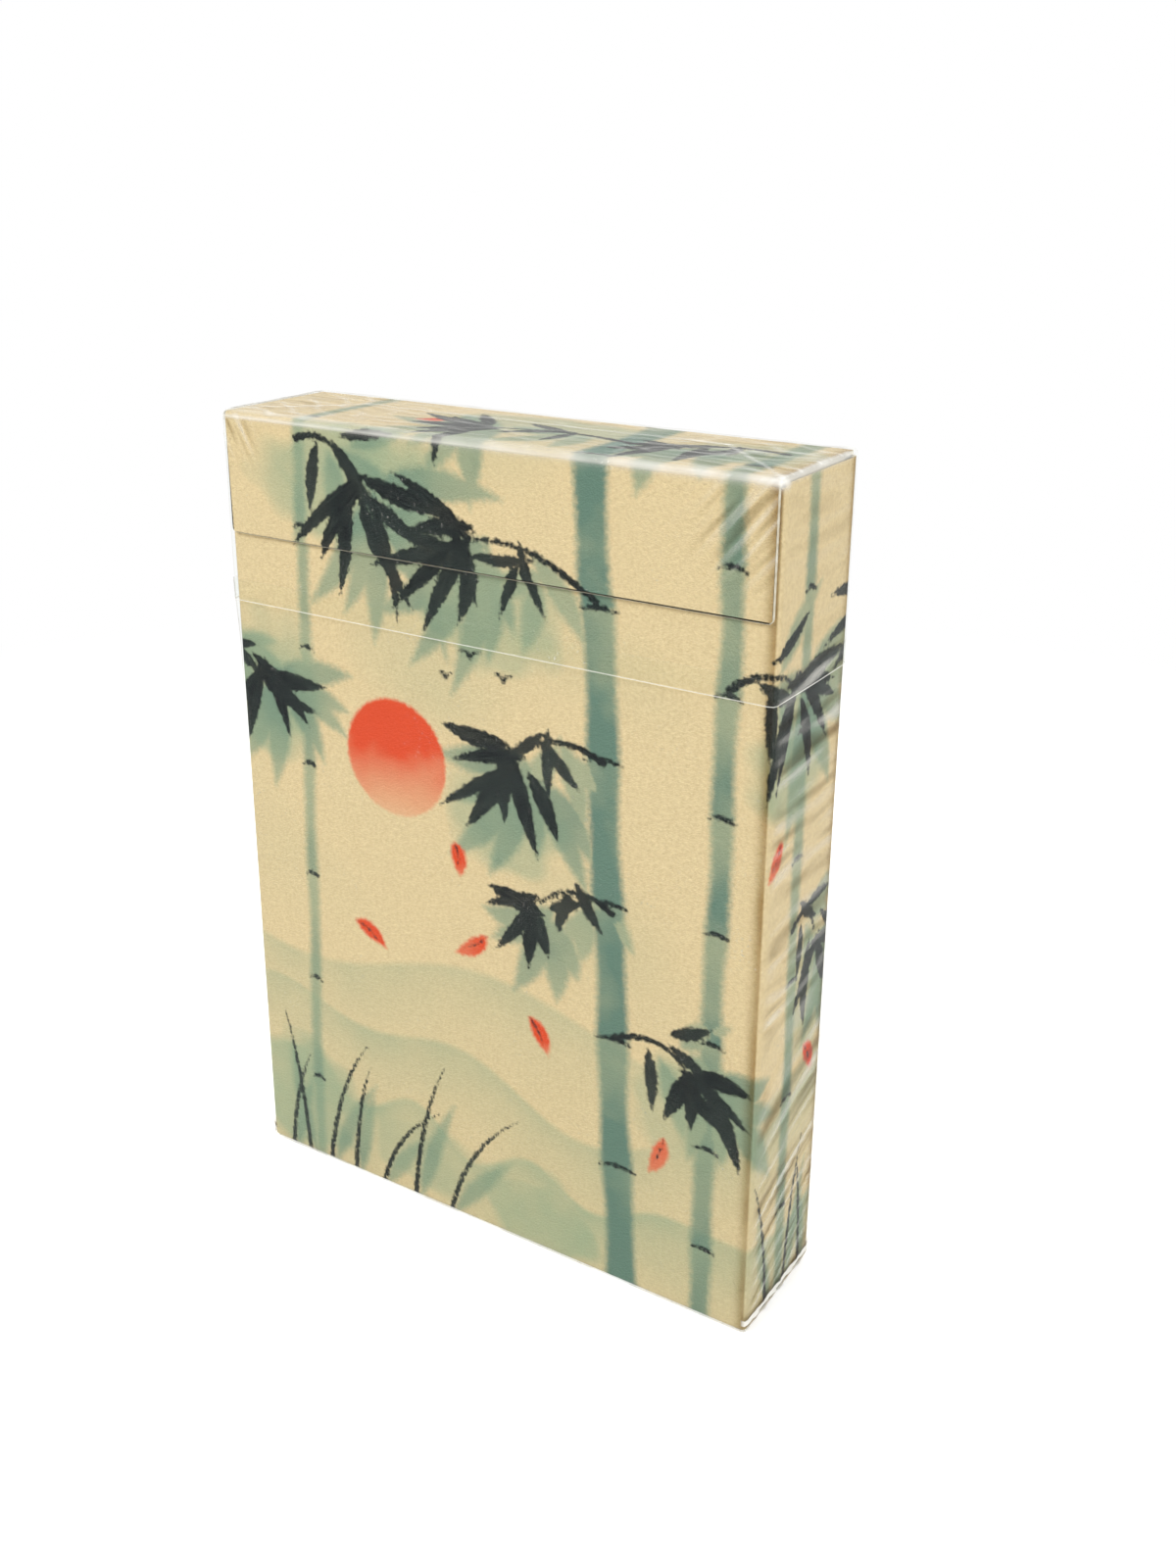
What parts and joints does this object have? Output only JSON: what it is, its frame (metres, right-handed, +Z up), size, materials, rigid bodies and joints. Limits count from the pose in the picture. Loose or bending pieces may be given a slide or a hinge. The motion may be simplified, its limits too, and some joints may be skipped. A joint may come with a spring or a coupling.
{
  "type": "playing card deck",
  "caption": "Deck of playing cards standing in a folded board carton with a hinged lid and dust flaps, sealed in clear film whose top lifts off above a tear tape.",
  "frame": {"origin": "centre of the underside, on the surface the carton stands on", "axes": "+Z up, -Y out of the front face (the face with the lid's flap), +X to the right seen from the front"},
  "size_m": [0.0656, 0.0162, 0.0903],
  "materials": {
    "printed_board": "matt printed paperboard with a fine embossed grain",
    "card_stock": "coated card stock",
    "clear_film": "clear glossy overwrap film"
  },
  "bodies": {
    "box": {"carton": "printed_board", "film_sleeve": "clear_film", "card_joker_red": "card_stock", "card_joker_black": "card_stock", "card_spades_ace": "card_stock", "card_spades_2": "card_stock", "card_spades_3": "card_stock", "card_spades_4": "card_stock", "card_spades_5": "card_stock", "card_spades_6": "card_stock", "card_spades_7": "card_stock", "card_spades_8": "card_stock", "card_spades_9": "card_stock", "card_spades_10": "card_stock", "card_spades_jack": "card_stock", "card_spades_queen": "card_stock", "card_spades_king": "card_stock", "card_hearts_ace": "card_stock", "card_hearts_2": "card_stock", "card_hearts_3": "card_stock", "card_hearts_4": "card_stock", "card_hearts_5": "card_stock", "card_hearts_6": "card_stock", "card_hearts_7": "card_stock", "card_hearts_8": "card_stock", "card_hearts_9": "card_stock", "card_hearts_10": "card_stock", "card_hearts_jack": "card_stock", "card_hearts_queen": "card_stock", "card_hearts_king": "card_stock", "card_clubs_ace": "card_stock", "card_clubs_2": "card_stock", "card_clubs_3": "card_stock", "card_clubs_4": "card_stock", "card_clubs_5": "card_stock", "card_clubs_6": "card_stock", "card_clubs_7": "card_stock", "card_clubs_8": "card_stock", "card_clubs_9": "card_stock", "card_clubs_10": "card_stock", "card_clubs_jack": "card_stock", "card_clubs_queen": "card_stock", "card_clubs_king": "card_stock", "card_diamonds_ace": "card_stock", "card_diamonds_2": "card_stock", "card_diamonds_3": "card_stock", "card_diamonds_4": "card_stock", "card_diamonds_5": "card_stock", "card_diamonds_6": "card_stock", "card_diamonds_7": "card_stock", "card_diamonds_8": "card_stock", "card_diamonds_9": "card_stock", "card_diamonds_10": "card_stock", "card_diamonds_jack": "card_stock", "card_diamonds_queen": "card_stock", "card_diamonds_king": "card_stock"},
    "lid": {"lid": "printed_board"},
    "dust_flap_left": {"dust_flap_left": "printed_board"},
    "dust_flap_right": {"dust_flap_right": "printed_board"},
    "film_cap": {"film_cap": "clear_film"}
  },
  "joints": [
    {"name": "lid_hinge", "type": "hinge", "parent": "box", "child": "lid", "pos_m": [0, 0.00786, 0.08976], "axis": [-1, 0, 0], "range_deg": [0, 160]},
    {"name": "dust_flap_left_fold", "type": "hinge", "parent": "box", "child": "dust_flap_left", "pos_m": [-0.03225, 0, 0.08935], "axis": [0, -1, 0], "range_deg": [0, 88]},
    {"name": "dust_flap_right_fold", "type": "hinge", "parent": "box", "child": "dust_flap_right", "pos_m": [0.03225, 0, 0.08935], "axis": [0, 1, 0], "range_deg": [0, 88]},
    {"name": "film_cap_lift", "type": "slide", "parent": "lid", "child": "film_cap", "axis": [0, 0, 1], "range_m": [0, 0.03]}
  ],
  "couplings": [
    {"joint": "dust_flap_left_fold", "follows": "lid_hinge", "ratio": 0.55},
    {"joint": "dust_flap_right_fold", "follows": "lid_hinge", "ratio": 0.55}
  ]
}
